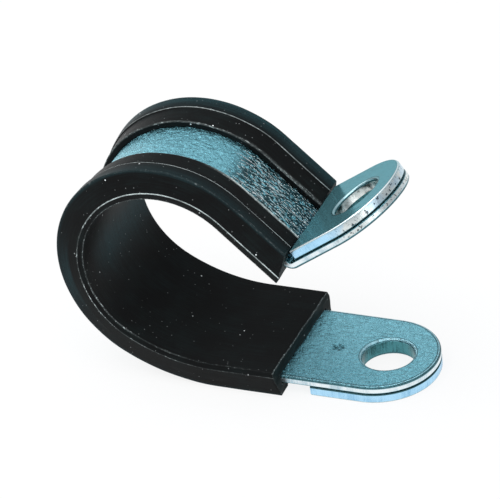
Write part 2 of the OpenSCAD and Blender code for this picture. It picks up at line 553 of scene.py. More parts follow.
@dataclass
class Blank:
    """A flat sheet-metal blank, laid out along and across the path and then bent round it."""

    outline: np.ndarray
    holes: list[np.ndarray]
    low: float
    high: float
    rim: tuple[EdgeShape, EdgeShape]
    hole_rim: tuple[EdgeShape, EdgeShape]
    inner_points: np.ndarray
    crease: float = math.radians(32)

    def build(
        self,
        name: str,
        path: BandPath,
        finishes: list[bpy.types.Material],
        relief: Relief,
    ) -> bpy.types.Object:
        """Makes the bent sheet as one closed mesh.

        Args:
            name: the piece's name.
            path: the path that it is bent round.
            finishes: the materials of its faces, its cut edges and its hole walls.
            relief: the height, and the painted shade and weld stain, of its two faces.

        Returns:
            The piece.
        """
        loops = [self.outline] + self.holes
        shapes = [self.rim] + [self.hole_rim] * len(self.holes)
        edges = [edge_rings(outer, inner, self.low, self.high) for outer, inner in shapes]
        rim_count = sum(len(loop) for loop in loops)
        flats, painted_light_and_mark_rows, faces, kinds = [], [], [], []
        total = 0
        for outer in (True, False):
            which = 0 if outer else -1
            rims = [moved_in(loop, rings[which].inset) for loop, (rings, _) in zip(loops, edges)]
            points, triangles = fill(rims, self.inner_points)
            # The relief also gives each face's painted shade and weld stain; the painted highlight
            # column stays empty here.
            rise, grime = relief(points[:, 0], points[:, 1], outer)
            rise[:rim_count] = 0
            flats.append(np.column_stack([points, (self.high if outer else self.low) + rise]))
            painted_light_and_mark_rows.append(np.column_stack([np.zeros(len(points)), grime]))
            turned = triangles if outer else triangles[:, ::-1]
            faces += [tuple(int(i) + total for i in face) for face in turned]
            kinds += [SheetFace.ROLLED] * len(turned)
            total += len(points)
        for number, (loop, (rings, wall)) in enumerate(zip(loops, edges)):
            count = len(loop)
            cut = SheetFace.HOLE_WALL if number else SheetFace.EDGE
            for step, ring in enumerate(rings):
                depths = np.full(count, ring.depth)
                flats.append(np.column_stack([moved_in(loop, ring.inset), depths]))
                # Each edge ring carries its painted highlight and its painted shade.
                painted_light_and_mark_rows.append(np.tile([ring.burnish, ring.grime], (count, 1)))
                if step:
                    kinds += [cut if step == wall else SheetFace.ROLLED] * count
                    for i in range(count):
                        j = (i + 1) % count
                        faces.append((total - count + i, total + i, total + j, total - count + j))
                total += count
        flat, wear = np.concatenate(flats), np.concatenate(painted_light_and_mark_rows)
        points = path.place(flat[:, 0], flat[:, 1], flat[:, 2])
        piece = new_piece(name, points, faces, finishes)
        piece.data.polygons.foreach_set("material_index", np.array(kinds, np.int32))
        add_layers(piece.data, flat[:, :2], {"burnish": wear[:, 0], "grime": wear[:, 1]})
        close_and_smooth(piece, self.crease)
        return piece


# ---- Shader nodes ----------------------------------------------------------------------------


@dataclass(frozen=True)
class Pattern:
    """A noise: its scale, its detail, its roughness, and how much it is stretched each way."""

    scale: float
    detail: float
    roughness: float = 0.5
    stretch: tuple[float, float, float] | None = None


class Wire:
    """A node's output socket. Sums on it add Math nodes."""

    def __init__(self, bench: "NodeBench", socket: bpy.types.NodeSocket) -> None:
        """Wraps a socket of a bench's tree."""
        self.bench = bench
        self.socket = socket

    def _math(self, operation: str, first: object, second: object) -> "Wire":
        """Adds a Math node of one operation on two values."""
        return self.bench.add("ShaderNodeMath", {"operation": operation}, {0: first, 1: second})[0]

    def __add__(self, other: object) -> "Wire":
        """This value plus another."""
        return self._math("ADD", self, other)

    def __radd__(self, other: object) -> "Wire":
        """Another value plus this one."""
        return self._math("ADD", other, self)

    def __sub__(self, other: object) -> "Wire":
        """This value less another."""
        return self._math("SUBTRACT", self, other)

    def __rsub__(self, other: object) -> "Wire":
        """Another value less this one."""
        return self._math("SUBTRACT", other, self)

    def __mul__(self, other: object) -> "Wire":
        """This value times another."""
        return self._math("MULTIPLY", self, other)

    def __rmul__(self, other: object) -> "Wire":
        """Another value times this one."""
        return self._math("MULTIPLY", other, self)

    def ramp(self, low: float, high: float) -> "Wire":
        """This value smoothed from 0 at one limit to 1 at the other.

        Args:
            low: the value that gives 0.
            high: the value that gives 1.

        Returns:
            The smoothed value.
        """
        settings = {"interpolation_type": "SMOOTHSTEP", "clamp": True}
        inputs = {"Value": self, "From Min": low, "From Max": high}
        return self.bench.add("ShaderNodeMapRange", settings, inputs)[0]


class NodeBench:
    """Adds nodes to one material's or world's tree."""

    def __init__(self, tree: bpy.types.NodeTree) -> None:
        """Clears the tree, which then takes new nodes."""
        self.tree = tree
        tree.nodes.clear()

    def add(self, kind: str, settings: dict, inputs: dict) -> list[Wire]:
        """Makes any node.

        Args:
            kind: the node's type.
            settings: its properties, set first; a ramp's stops go under "stops".
            inputs: values or wires for its sockets, by name or by number.

        Returns:
            Its outputs.
        """
        node = self.tree.nodes.new(kind)
        for key, value in settings.items():
            if key == "stops":
                ramp = node.color_ramp
                while len(ramp.elements) < len(value):
                    ramp.elements.new(0.5)
                for element, (place, colour) in zip(ramp.elements, value):
                    element.position = place
                    element.color = colour
            else:
                setattr(node, key, value)
        for key, value in inputs.items():
            socket = node.inputs[key]
            if isinstance(value, Wire):
                self.tree.links.new(value.socket, socket)
            else:
                socket.default_value = value
        return [Wire(self, socket) for socket in node.outputs]

    def where(self) -> Wire:
        """The piece's own Object coordinates."""
        return self.add("ShaderNodeTexCoord", {}, {})[3]

    def layout(self) -> Wire:
        """The flat layout, in millimetres along the path and across it."""
        return self.add("ShaderNodeUVMap", {"uv_map": "layout"}, {})[0]

    def along(self, layout: Wire) -> Wire:
        """Distance along the path, in millimetres."""
        return self.add("ShaderNodeSeparateXYZ", {}, {0: layout})[0]

    def mark(self, name: str) -> Wire:
        """A vertex attribute's value."""
        return self.add("ShaderNodeAttribute", {"attribute_name": name}, {})[2]

    def noise(self, where: Wire, pattern: Pattern) -> Wire:
        """A noise.

        Args:
            where: the coordinates.
            pattern: the noise's values.

        Returns:
            A value from about 0 to 1.
        """
        if pattern.stretch:
            links = {"Vector": where, "Scale": pattern.stretch}
            where = self.add("ShaderNodeMapping", {}, links)[0]
        inputs = {
            "Vector": where,
            "Scale": pattern.scale,
            "Detail": pattern.detail,
            "Roughness": pattern.roughness,
        }
        return self.add("ShaderNodeTexNoise", {}, inputs)[0]

    def mix(self, share: object, first: object, second: object) -> Wire:
        """Two colours mixed by a share of the second."""
        settings = {"data_type": "RGBA", "clamp_factor": True}
        return self.add("ShaderNodeMix", settings, {0: share, 6: first, 7: second})[2]

    def bump(
        self, height: Wire, strength: float, distance: float, normal: Wire | None = None
    ) -> Wire:
        """A normal bent by a height.

        Args:
            height: the height, from about 0 to 1.
            strength: how far it bends the normal.
            distance: the depth of a whole unit of height.
            normal: another normal to bend, where there is one.

        Returns:
            The bent normal.
        """
        inputs = {"Strength": strength, "Distance": distance, "Height": height}
        if normal:
            inputs["Normal"] = normal
        return self.add("ShaderNodeBump", {}, inputs)[0]

    def surface(self, inputs: dict) -> None:
        """Ends a material's tree in a Principled shader with the inputs given."""
        shader = self.add("ShaderNodeBsdfPrincipled", {}, inputs)[0]
        self.add("ShaderNodeOutputMaterial", {}, {"Surface": shader})


def rgba(colour: Colour, share: float = 1.0) -> tuple[float, float, float, float]:
    """A linear colour, or a share of it, with full alpha."""
    return (*(share * part for part in colour), 1.0)


def new_material(name: str) -> tuple[bpy.types.Material, NodeBench]:
    """An empty node material.

    Args:
        name: the material's name.

    Returns:
        The material and the bench that fills it.
    """
    material = bpy.data.materials.new(name)
    material.use_nodes = True
    return material, NodeBench(material.node_tree)


@dataclass(frozen=True)
class ZincFinish:
    """Blue-passivated zinc plate on a rolled face, with highlights and shade painted along its
    edges and on its stipple.
    """

    name: str
    light: Colour = (0.36, 0.84, 0.98)
    dark: Colour = (0.17, 0.46, 0.54)
    # The colour of painted highlights: the pale lines along the edges and the glints on the
    # stipple.
    painted_highlight: Colour = (0.93, 0.97, 0.98)
    grazing: Colour = (1.0, 1.0, 1.0)
    metallic: float = 1.0
    roughness: float = 0.26
    roughness_swing: float = 0.14
    grain: float = 0.7
    pits: float = 0.7
    scratches: float = 0.8
    emboss: float = 1.2
    relief_depth: float = 0.17 * MM
    stipple: float = 0.0
    stipple_from: float = 0.0
    stipple_to: float = 0.0
    stipple_fade: float = 3.2 * MM
    stipple_depth: float = 0.28 * MM
    scratch_turn: float = 0.5
    mottle: Pattern = Pattern(2300, 4, 0.6)
    fine: Pattern = Pattern(7500, 3, 0.65)
    swell: Pattern = Pattern(1540, 3, 0.68)
    pitting: Pattern = Pattern(3100, 2, 0.5, (1.0, 1.5, 1.0))
    scratching: Pattern = Pattern(1.0, 3, 0.6)
    hammering: Pattern = Pattern(2.5, 2.5, 0.6, (0.5, 1.0, 1.0))
    # The lengthwise streaks that carry the stipple's painted glints.
    glint_streaking: Pattern = Pattern(1.0, 3, 0.6, (0.22, 3.4, 1.0))

    def material(self) -> bpy.types.Material:
        """Makes the finish.

        Returns:
            The node material.
        """
        material, bench = new_material(self.name)
        where, layout = bench.where(), bench.layout()
        # A dark zinc colour: for the dark pits and scratches, and as painted shade in the stipple's
        # hollows and along the edges.
        dark_stain_and_shade = rgba(self.dark, 0.12)
        mottle = bench.noise(where, self.mottle)
        fine = bench.noise(where, self.fine)
        swell = bench.noise(where, self.swell)
        pits = bench.noise(where, self.pitting).ramp(0.63, 0.72) * self.pits
        turned = bench.add(
            "ShaderNodeMapping",
            {},
            {"Vector": layout, "Rotation": (0, 0, self.scratch_turn), "Scale": (0.35, 5.5, 1)},
        )[0]
        lines = bench.noise(turned, self.scratching).ramp(0.59, 0.65) * self.scratches
        tone = (mottle * 0.4 + fine * 0.6).ramp(0.34, 0.66)
        colour = bench.mix(tone, rgba(self.dark), rgba(self.light))
        colour = bench.mix(pits * 0.8, colour, dark_stain_and_shade)
        colour = bench.mix(lines * 1.1 * fine, colour, dark_stain_and_shade)
        relief = mottle * 0.6 + fine * 0.35 + swell * self.emboss - pits * 0.8 - lines * 0.7
        normal = bench.bump(relief, self.grain, self.relief_depth)
        if self.stipple:
            zone = self.stippled_zone(bench.along(layout))
            hammer = bench.noise(layout, self.hammering)
            painted_drawn_highlight = bench.noise(layout, self.glint_streaking).ramp(0.58, 0.63)
            normal = bench.bump(hammer * zone, self.stipple, self.stipple_depth, normal)
            # Painted shade in the hollows between the stipple's bumps, then painted glints along
            # its streaks.
            colour = bench.mix(zone * (1 - hammer.ramp(0.50, 0.62)) * 0.97, colour, dark_stain_and_shade)
            colour = bench.mix(zone * painted_drawn_highlight * fine.ramp(0.35, 0.5), colour, rgba(self.painted_highlight))
        # Painted shade along the edges and seams, and the weld pits' stain, then painted highlights
        # along the edges.
        colour = bench.mix(bench.mark("grime") * 0.85, colour, dark_stain_and_shade)
        colour = bench.mix(bench.mark("burnish"), colour, rgba(self.painted_highlight))
        roughness = self.roughness + self.roughness_swing * (mottle - 0.5) + 0.15 * (fine - 0.4)
        bench.surface(
            {
                "Base Color": colour,
                "Metallic": self.metallic,
                "Roughness": roughness,
                "Normal": normal,
                "Specular Tint": rgba(self.grazing),
            }
        )
        return material

    def stippled_zone(self, run: Wire) -> Wire:
        """Where the face is stippled.

        Args:
            run: distance along the path, in millimetres.

        Returns:
            A mask that fades in and ends sharply.
        """
        first, last = self.stipple_from / MM, self.stipple_to / MM
        fading_in = run.ramp(first - 0.4, first + self.stipple_fade / MM)
        return fading_in * (1 - run.ramp(last - 0.1, last + 0.15))


@dataclass(frozen=True)
class ShearFinish:
    """A sheared edge of the steel: brighter than the faces, with tear lines through it."""

    name: str
    light: Colour = (0.86, 0.93, 0.96)
    dark: Colour = (0.42, 0.58, 0.66)
    roughness: float = 0.28
    tear_contrast: float = 0.5
    tear_depth: float = 0.02 * MM
    worn: Colour = (0.74, 0.80, 0.79)
    worn_from: float = 0.0
    worn_to: float = 0.0
    patching: Pattern = Pattern(380, 3, 0.55)
    fine: Pattern = Pattern(5200, 3, 0.6)
    tearing: Pattern = Pattern(4.5, 3, 0.6)
    nicking: Pattern = Pattern(1900, 3, 0.65)

    def material(self) -> bpy.types.Material:
        """Makes the finish.

        Returns:
            The node material.
        """
        material, bench = new_material(self.name)
        where, layout = bench.where(), bench.layout()
        patches = bench.noise(where, self.patching)
        grain = bench.noise(where, self.fine)
        tears = bench.noise(layout, self.tearing)
        torn = (tears * 0.6 + grain * 0.4) * self.tear_contrast
        tone = patches * (1 - self.tear_contrast) + torn
        colour = bench.mix(tone.ramp(0.36, 0.58), rgba(self.dark), rgba(self.light))
        # A dark colour: for the nicks, and as painted shade along the corners.
        dark_stain_and_shade = rgba(self.dark, 0.08)
        if self.worn_to > self.worn_from:
            zone = bench.along(layout).ramp(self.worn_from / MM, self.worn_to / MM)
            nicks = bench.noise(where, self.nicking).ramp(0.54, 0.61)
            rubbed = zone * (0.55 + 0.8 * patches.ramp(0.4, 0.6))
            colour = bench.mix(rubbed, colour, rgba(self.worn))
            colour = bench.mix(zone * nicks * 0.9, colour, dark_stain_and_shade)
        # Painted shade along the edge's corners and seams.
        colour = bench.mix(bench.mark("grime") * 0.9, colour, dark_stain_and_shade)
        bench.surface(
            {
                "Base Color": colour,
                "Metallic": 1.0,
                "Roughness": self.roughness + 0.2 * (tears - 0.5) + 0.1 * (grain - 0.5),
                "Normal": bench.bump(tears + 0.4 * grain, 0.45, self.tear_depth),
            }
        )
        return material


@dataclass(frozen=True)
class RubberFinish:
    """Black extruded rubber: dull and finely lined along its run, with highlight lines and a sheen
    painted on.
    """

    name: str
    base: Colour = (0.0064, 0.0068, 0.0070)
    worn: Colour = (0.0095, 0.0140, 0.0142)
    # The colour of the painted sheen.
    bloom: Colour = (0.020, 0.052, 0.060)
    dust: Colour = (0.85, 0.90, 0.90)
    # edge is the colour of the painted highlight lines along the corners.
    edge: Colour = (0.62, 0.70, 0.69)
    specular: float = 0.045
    roughness: float = 0.40
    grain: float = 0.8
    grain_depth: float = 0.02 * MM
    clouding: Pattern = Pattern(260, 4, 0.55)
    fine: Pattern = Pattern(7000, 2, 0.6)
    streaking: Pattern = Pattern(1.6, 4, 0.65, (0.10, 4.2, 1.0))
    breaking: Pattern = Pattern(1.0, 4, 0.75, (1.9, 5.0, 1.0))
    waning: Pattern = Pattern(1.0, 2, 0.5, (0.25, 2.0, 1.0))

    def specks(
        self, bench: NodeBench, where: Wire, scale: float, share: float, size: float
    ) -> Wire:
        """Round specks of dust.

        Args:
            bench: the material's bench.
            where: the coordinates.
            scale: how many cells a metre has, each with one speck at most.
            share: the share of cells that have one.
            size: a speck's radius in cells.

        Returns:
            A mask of the specks.
        """
        inputs = {"Vector": where, "Scale": scale, "Randomness": 1.0}
        cells = bench.add("ShaderNodeTexVoronoi", {"feature": "F1"}, inputs)
        chance = bench.add("ShaderNodeTexWhiteNoise", {}, {"Vector": cells[2]})[0]
        return (1 - cells[0].ramp(size * 0.6, size)) * chance.ramp(1 - share, 1 - share * 0.4)

    def material(self) -> bpy.types.Material:
        """Makes the finish.

        Returns:
            The node material.
        """
        material, bench = new_material(self.name)
        where, layout = bench.where(), bench.layout()
        cloud = bench.noise(where, self.clouding)
        grain = bench.noise(where, self.fine)
        streaks = bench.noise(layout, self.streaking)
        tone = (cloud * 0.4 + streaks * 0.6).ramp(0.44, 0.68)
        colour = bench.mix(tone, rgba(self.base), rgba(self.worn))
        uneven = 0.35 + 0.4 * streaks.ramp(0.35, 0.65) + 0.5 * grain.ramp(0.4, 0.7)
        # Painted sheen, uneven along the streaks.
        colour = bench.mix(bench.mark("bloom") * uneven, colour, rgba(self.bloom))
        # Painted highlight lines along the corners: broken into dots, and unbroken.
        breaks = bench.noise(layout, self.breaking)
        slow = bench.noise(layout, self.waning).ramp(0.36, 0.62)
        dots = 1.5 * breaks.ramp(0.53, 0.64) * (0.15 + 0.85 * slow)
        dotted_highlight = bench.mark("wear") * (0.04 + 0.10 * slow + dots)
        painted_drawn_highlight = bench.mark("steady") * (0.3 + 0.45 * slow + 0.4 * breaks.ramp(0.4, 0.6))
        colour = bench.mix(dotted_highlight + painted_drawn_highlight, colour, rgba(self.edge))
        large = self.specks(bench, where, scale=620.0, share=0.42, size=0.07)
        small = self.specks(bench, where, scale=1500.0, share=0.55, size=0.12)
        dust = large + small * 0.2
        roughness = self.roughness + 0.16 * (cloud - 0.5) + 0.25 * (grain - 0.5) + 0.25 * dust
        bench.surface(
            {
                "Base Color": bench.mix(dust, colour, rgba(self.dust)),
                "Roughness": roughness,
                "Normal": bench.bump(grain * 0.45 + streaks * 0.6, self.grain, self.grain_depth),
                "Specular IOR Level": self.specular,
            }
        )
        return material


# ---- The steel parts -------------------------------------------------------------------------


@dataclass(frozen=True)
class SteelFinishes:
    """The three finishes of a sheet-metal piece: rolled faces, cut edges and hole walls."""

    face: ZincFinish
    edge: ShearFinish
    wall: ShearFinish

    def materials(self) -> list[bpy.types.Material]:
        """The materials in the order of a blank's slots."""
        return [self.face.material(), self.edge.material(), self.wall.material()]


def gentle_waves(seed: int, depth: float, pitch: float) -> Relief:
    """The faint unevenness of pressed strip, as hollows that never rise above the face.

    Args:
        seed: the seed of its directions and phases.
        depth: half the depth of its deepest hollow.
        pitch: its shortest wavelength, roughly.

    Returns:
        The relief.
    """
    count, longest = 7, 2.6
    dice = np.random.default_rng(seed)
    turns, phases = dice.uniform(0, math.tau, count), dice.uniform(0, math.tau, count)
    waves = math.tau / (pitch * dice.uniform(1.0, longest, count))

    def relief(along: np.ndarray, across: np.ndarray, outer: bool) -> tuple[np.ndarray, np.ndarray]:
        """Height of the hollows, with no painted shade or weld stain.

        Args:
            along: distances along the path.
            across: places across the band.
            outer: whether the face is the outer one.

        Returns:
            The heights to add, and zeros for the painted shade and weld stain.
        """
        total = np.zeros(len(along))
        for turn, phase, wave in zip(turns, phases, waves):
            total += np.sin(wave * (along * math.cos(turn) + across * math.sin(turn)) + phase)
        sunk = depth * (1 - total / len(turns))
        return -sunk if outer else sunk, np.zeros(len(along))

    return relief


@dataclass
class SheetPart:
    """What the band and the plates share: steel sheet on the band's path."""

    sizes: ClipSizes
    path: BandPath
    finishes: SteelFinishes
    grid: float = 0.5 * MM
    bend_step: float = math.radians(6.5)
    rim_margin: float = 0.62 * MM
    hole_steps: int = 96
    tip_steps: int = 72
    corner_steps: int = 10

    def hole(self, along: float) -> np.ndarray:
        """A bolt hole's outline, clockwise, about a distance along the path."""
        radius = self.sizes.hole_diameter / 2
        return arc((along, 0.0), radius, 0, -360, self.hole_steps)[:-1]

    def inside(
        self, points: np.ndarray, outline: np.ndarray, holes: list[np.ndarray]
    ) -> np.ndarray:
        """The points that lie well inside an outline and well outside its holes.

        Args:
            points: places along and across.
            outline: the outline, anticlockwise.
            holes: round holes in it.

        Returns:
            The points that are kept.
        """
        keep = inside_by(points, outline, self.rim_margin)
        for hole in holes:
            middle = hole.mean(axis=0)
            radius = np.linalg.norm(hole[0] - middle)
            keep &= np.linalg.norm(points - middle, axis=1) > radius + self.rim_margin
        return points[keep]

    def lattice(self, stations: np.ndarray, half_width: float) -> np.ndarray:
        """Grid points over a strip.

        Args:
            stations: their distances along the path.
            half_width: half of the strip's width, over which they lie evenly.

        Returns:
            The points, one row each.
        """
        count = max(2, round(2 * half_width / self.grid))
        rows = np.linspace(-half_width, half_width, count + 1)[1:-1]
        along, across = np.meshgrid(stations, rows, indexing="ij")
        return np.stack([along.ravel(), across.ravel()], -1)

    def dress(self, piece: bpy.types.Object, node: str) -> bpy.types.Object:
        """Puts a piece in the place of its CAD solid.

        Args:
            piece: the piece.
            node: the solid's node.

        Returns:
            The piece.
        """
        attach(piece, BODY)
        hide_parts(node)
        return piece


@dataclass
class SpringBand(SheetPart):
    """The steel band: a flat foot, the ring, the arm and the upper ear, in one strip."""

    wave_seed: int = 11
    wave_depth: float = 0.006 * MM
    wave_pitch: float = 5.5 * MM
    weld_mark_run: float = 6.7 * MM
    weld_mark_radius: float = 0.85 * MM
    weld_mark_reach: float = 1.35
    weld_mark_grid: float = 0.075 * MM
    pits: int = 34
    pit_seed: int = 5
    pit_spread: float = 0.85
    pit_widths: tuple[float, float] = (0.06, 0.12)
    pit_depth: float = 0.06 * MM

    def build(self) -> bpy.types.Object:
        """Makes the band and puts it in the place of its solid.

        Returns:
            The piece.
        """
        sizes, half, total = self.sizes, self.sizes.band_width / 2, self.path.length
        near, far = sizes.end_offset, total - sizes.end_offset
        runs = self.path.stations(near, far, self.grid, self.bend_step)
        low_side = np.stack([runs[1:-1], np.full(len(runs) - 2, -half)], -1)
        outline = np.concatenate(
            [
                arc((near, 0.0), half, 90, 270, self.tip_steps),
                low_side,
                arc((far, 0.0), half, -90, 90, self.tip_steps),
                low_side[::-1] * np.array([1, -1]),
            ]
        )
        holes = [self.hole(0.0), self.hole(total)]
        tips = (-sizes.tip_run, total + sizes.tip_run)
        wide = self.path.stations(*tips, self.grid, self.bend_step)
        inner = self.inside(self.lattice(wide, half), outline, holes)
        marks = [self.weld_mark_run, total - self.weld_mark_run]
        blank = Blank(
            outline=outline,
            holes=holes,
            low=-sizes.band_thickness,
            high=0.0,
            rim=(EdgeShape.SEAM, EdgeShape.ROLLED),
            hole_rim=(EdgeShape.HOLE_SEAM, EdgeShape.HOLE_RIM),
            inner_points=self.with_fine_patches(inner, marks),
        )
        piece = blank.build("band", self.path, self.finishes.materials(), self.relief(marks))
        return self.dress(piece, "strap")

    def with_fine_patches(self, points: np.ndarray, marks: list[float]) -> np.ndarray:
        """Swaps the coarse grid for a fine one round each weld mark.

        Args:
            points: the grid's points, along and across.
            marks: the weld marks' distances along the path.

        Returns:
            The new points.
        """
        reach = self.weld_mark_radius * self.weld_mark_reach
        step = self.weld_mark_grid
        offsets = np.arange(-reach, reach + step / 2, step)
        along, across = np.meshgrid(offsets, offsets, indexing="ij")
        disc = np.stack([along.ravel(), across.ravel()], -1)
        disc = disc[np.linalg.norm(disc, axis=1) < reach]
        for mark in marks:
            middle = np.array([mark, 0.0])
            points = points[np.linalg.norm(points - middle, axis=1) > reach + step]
            points = np.concatenate([points, disc + middle])
        return points

    def relief(self, marks: list[float]) -> Relief:
        """The band's faint waves, with the pits that the spot welder left on its inner face.

        Args:
            marks: the weld marks' distances along the path.

        Returns:
            The relief.
        """
        waves = gentle_waves(self.wave_seed, self.wave_depth, self.wave_pitch)
        dice = np.random.default_rng(self.pit_seed)
        turns = dice.uniform(0, math.tau, self.pits)
        reaches = self.weld_mark_radius * self.pit_spread * np.sqrt(dice.uniform(0, 1, self.pits))
        widths = dice.uniform(*self.pit_widths, self.pits) * MM

        def relief(
            along: np.ndarray, across: np.ndarray, outer: bool
        ) -> tuple[np.ndarray, np.ndarray]:
            """Height of the waves and the pits, and the pits' painted shade and weld stain.

            Args:
                along: distances along the path.
                across: places across the band.
                outer: whether the face is the outer one.

            Returns:
                The heights to add and the grime.
            """
            height, grime = waves(along, across, outer)
            if outer:
                return height, grime
            for mark in marks:
                for turn, reach, width in zip(turns, reaches, widths):
                    ahead = along - mark - reach * math.cos(turn)
                    aside = across - reach * math.sin(turn)
                    pit = np.exp(-(ahead**2 + aside**2) / (2 * width**2))
                    height = height + self.pit_depth * pit
                    grime = np.maximum(grime, pit)
            return height, grime

        return relief


class PlateEnd(Enum):
    """Which ear a stiffening plate belongs to."""

    LOWER = "lower"
    UPPER = "upper"


@dataclass
class StiffeningPlate(SheetPart):
    """A plate on the outside of one ear, round at the tip and square near the bend."""

    end: PlateEnd = PlateEnd.LOWER
    wave_seed: int = 23
    wave_depth: float = 0.004 * MM
    wave_pitch: float = 6 * MM

    def build(self) -> bpy.types.Object:
        """Makes the plate and puts it in the place of its solid.

        Returns:
            The piece.
        """
        sizes, half = self.sizes, self.sizes.band_width / 2
        corner, inner_end = sizes.plate_corner, sizes.plate_run
        side = np.arange(sizes.end_offset, inner_end - corner, self.grid)[1:]
        low_side = np.stack([side, np.full(len(side), -half)], -1)
        across = np.arange(-half + corner, half - corner, self.grid)[1:]
        outline = np.concatenate(
            [
                arc((sizes.end_offset, 0.0), half, 90, 270, self.tip_steps),
                low_side,
                arc((inner_end - corner, -half + corner), corner, -90, 0, self.corner_steps),
                np.stack([np.full(len(across), inner_end), across], -1),
                arc((inner_end - corner, half - corner), corner, 0, 90, self.corner_steps),
                low_side[::-1] * np.array([1, -1]),
            ]
        )
        lattice = self.lattice(np.arange(-sizes.tip_run, inner_end, self.grid)[1:], half)
        inner = self.inside(lattice, outline, [self.hole(0.0)])
        place = 0.0
        if self.end is PlateEnd.UPPER:
            place = self.path.length
            turned, moved = np.array([-1, 1]), np.array([place, 0])
            outline = outline[::-1] * turned + moved
            inner = inner * turned + moved
        blank = Blank(
            outline=outline,
            holes=[self.hole(place)],
            low=sizes.seam,
            high=sizes.stack_height,
            rim=(EdgeShape.PRESSED, EdgeShape.SEAM),
            hole_rim=(EdgeShape.HOLE_RIM, EdgeShape.HOLE_BURR),
            inner_points=inner,
        )
        waves = gentle_waves(self.wave_seed, self.wave_depth, self.wave_pitch)
        name = f"{self.end.value}_stiffener"
        piece = blank.build(name, self.path, self.finishes.materials(), waves)
        return self.dress(piece, f"{self.end.value}_plate")


# ---- The pressed grain on the arm ------------------------------------------------------------


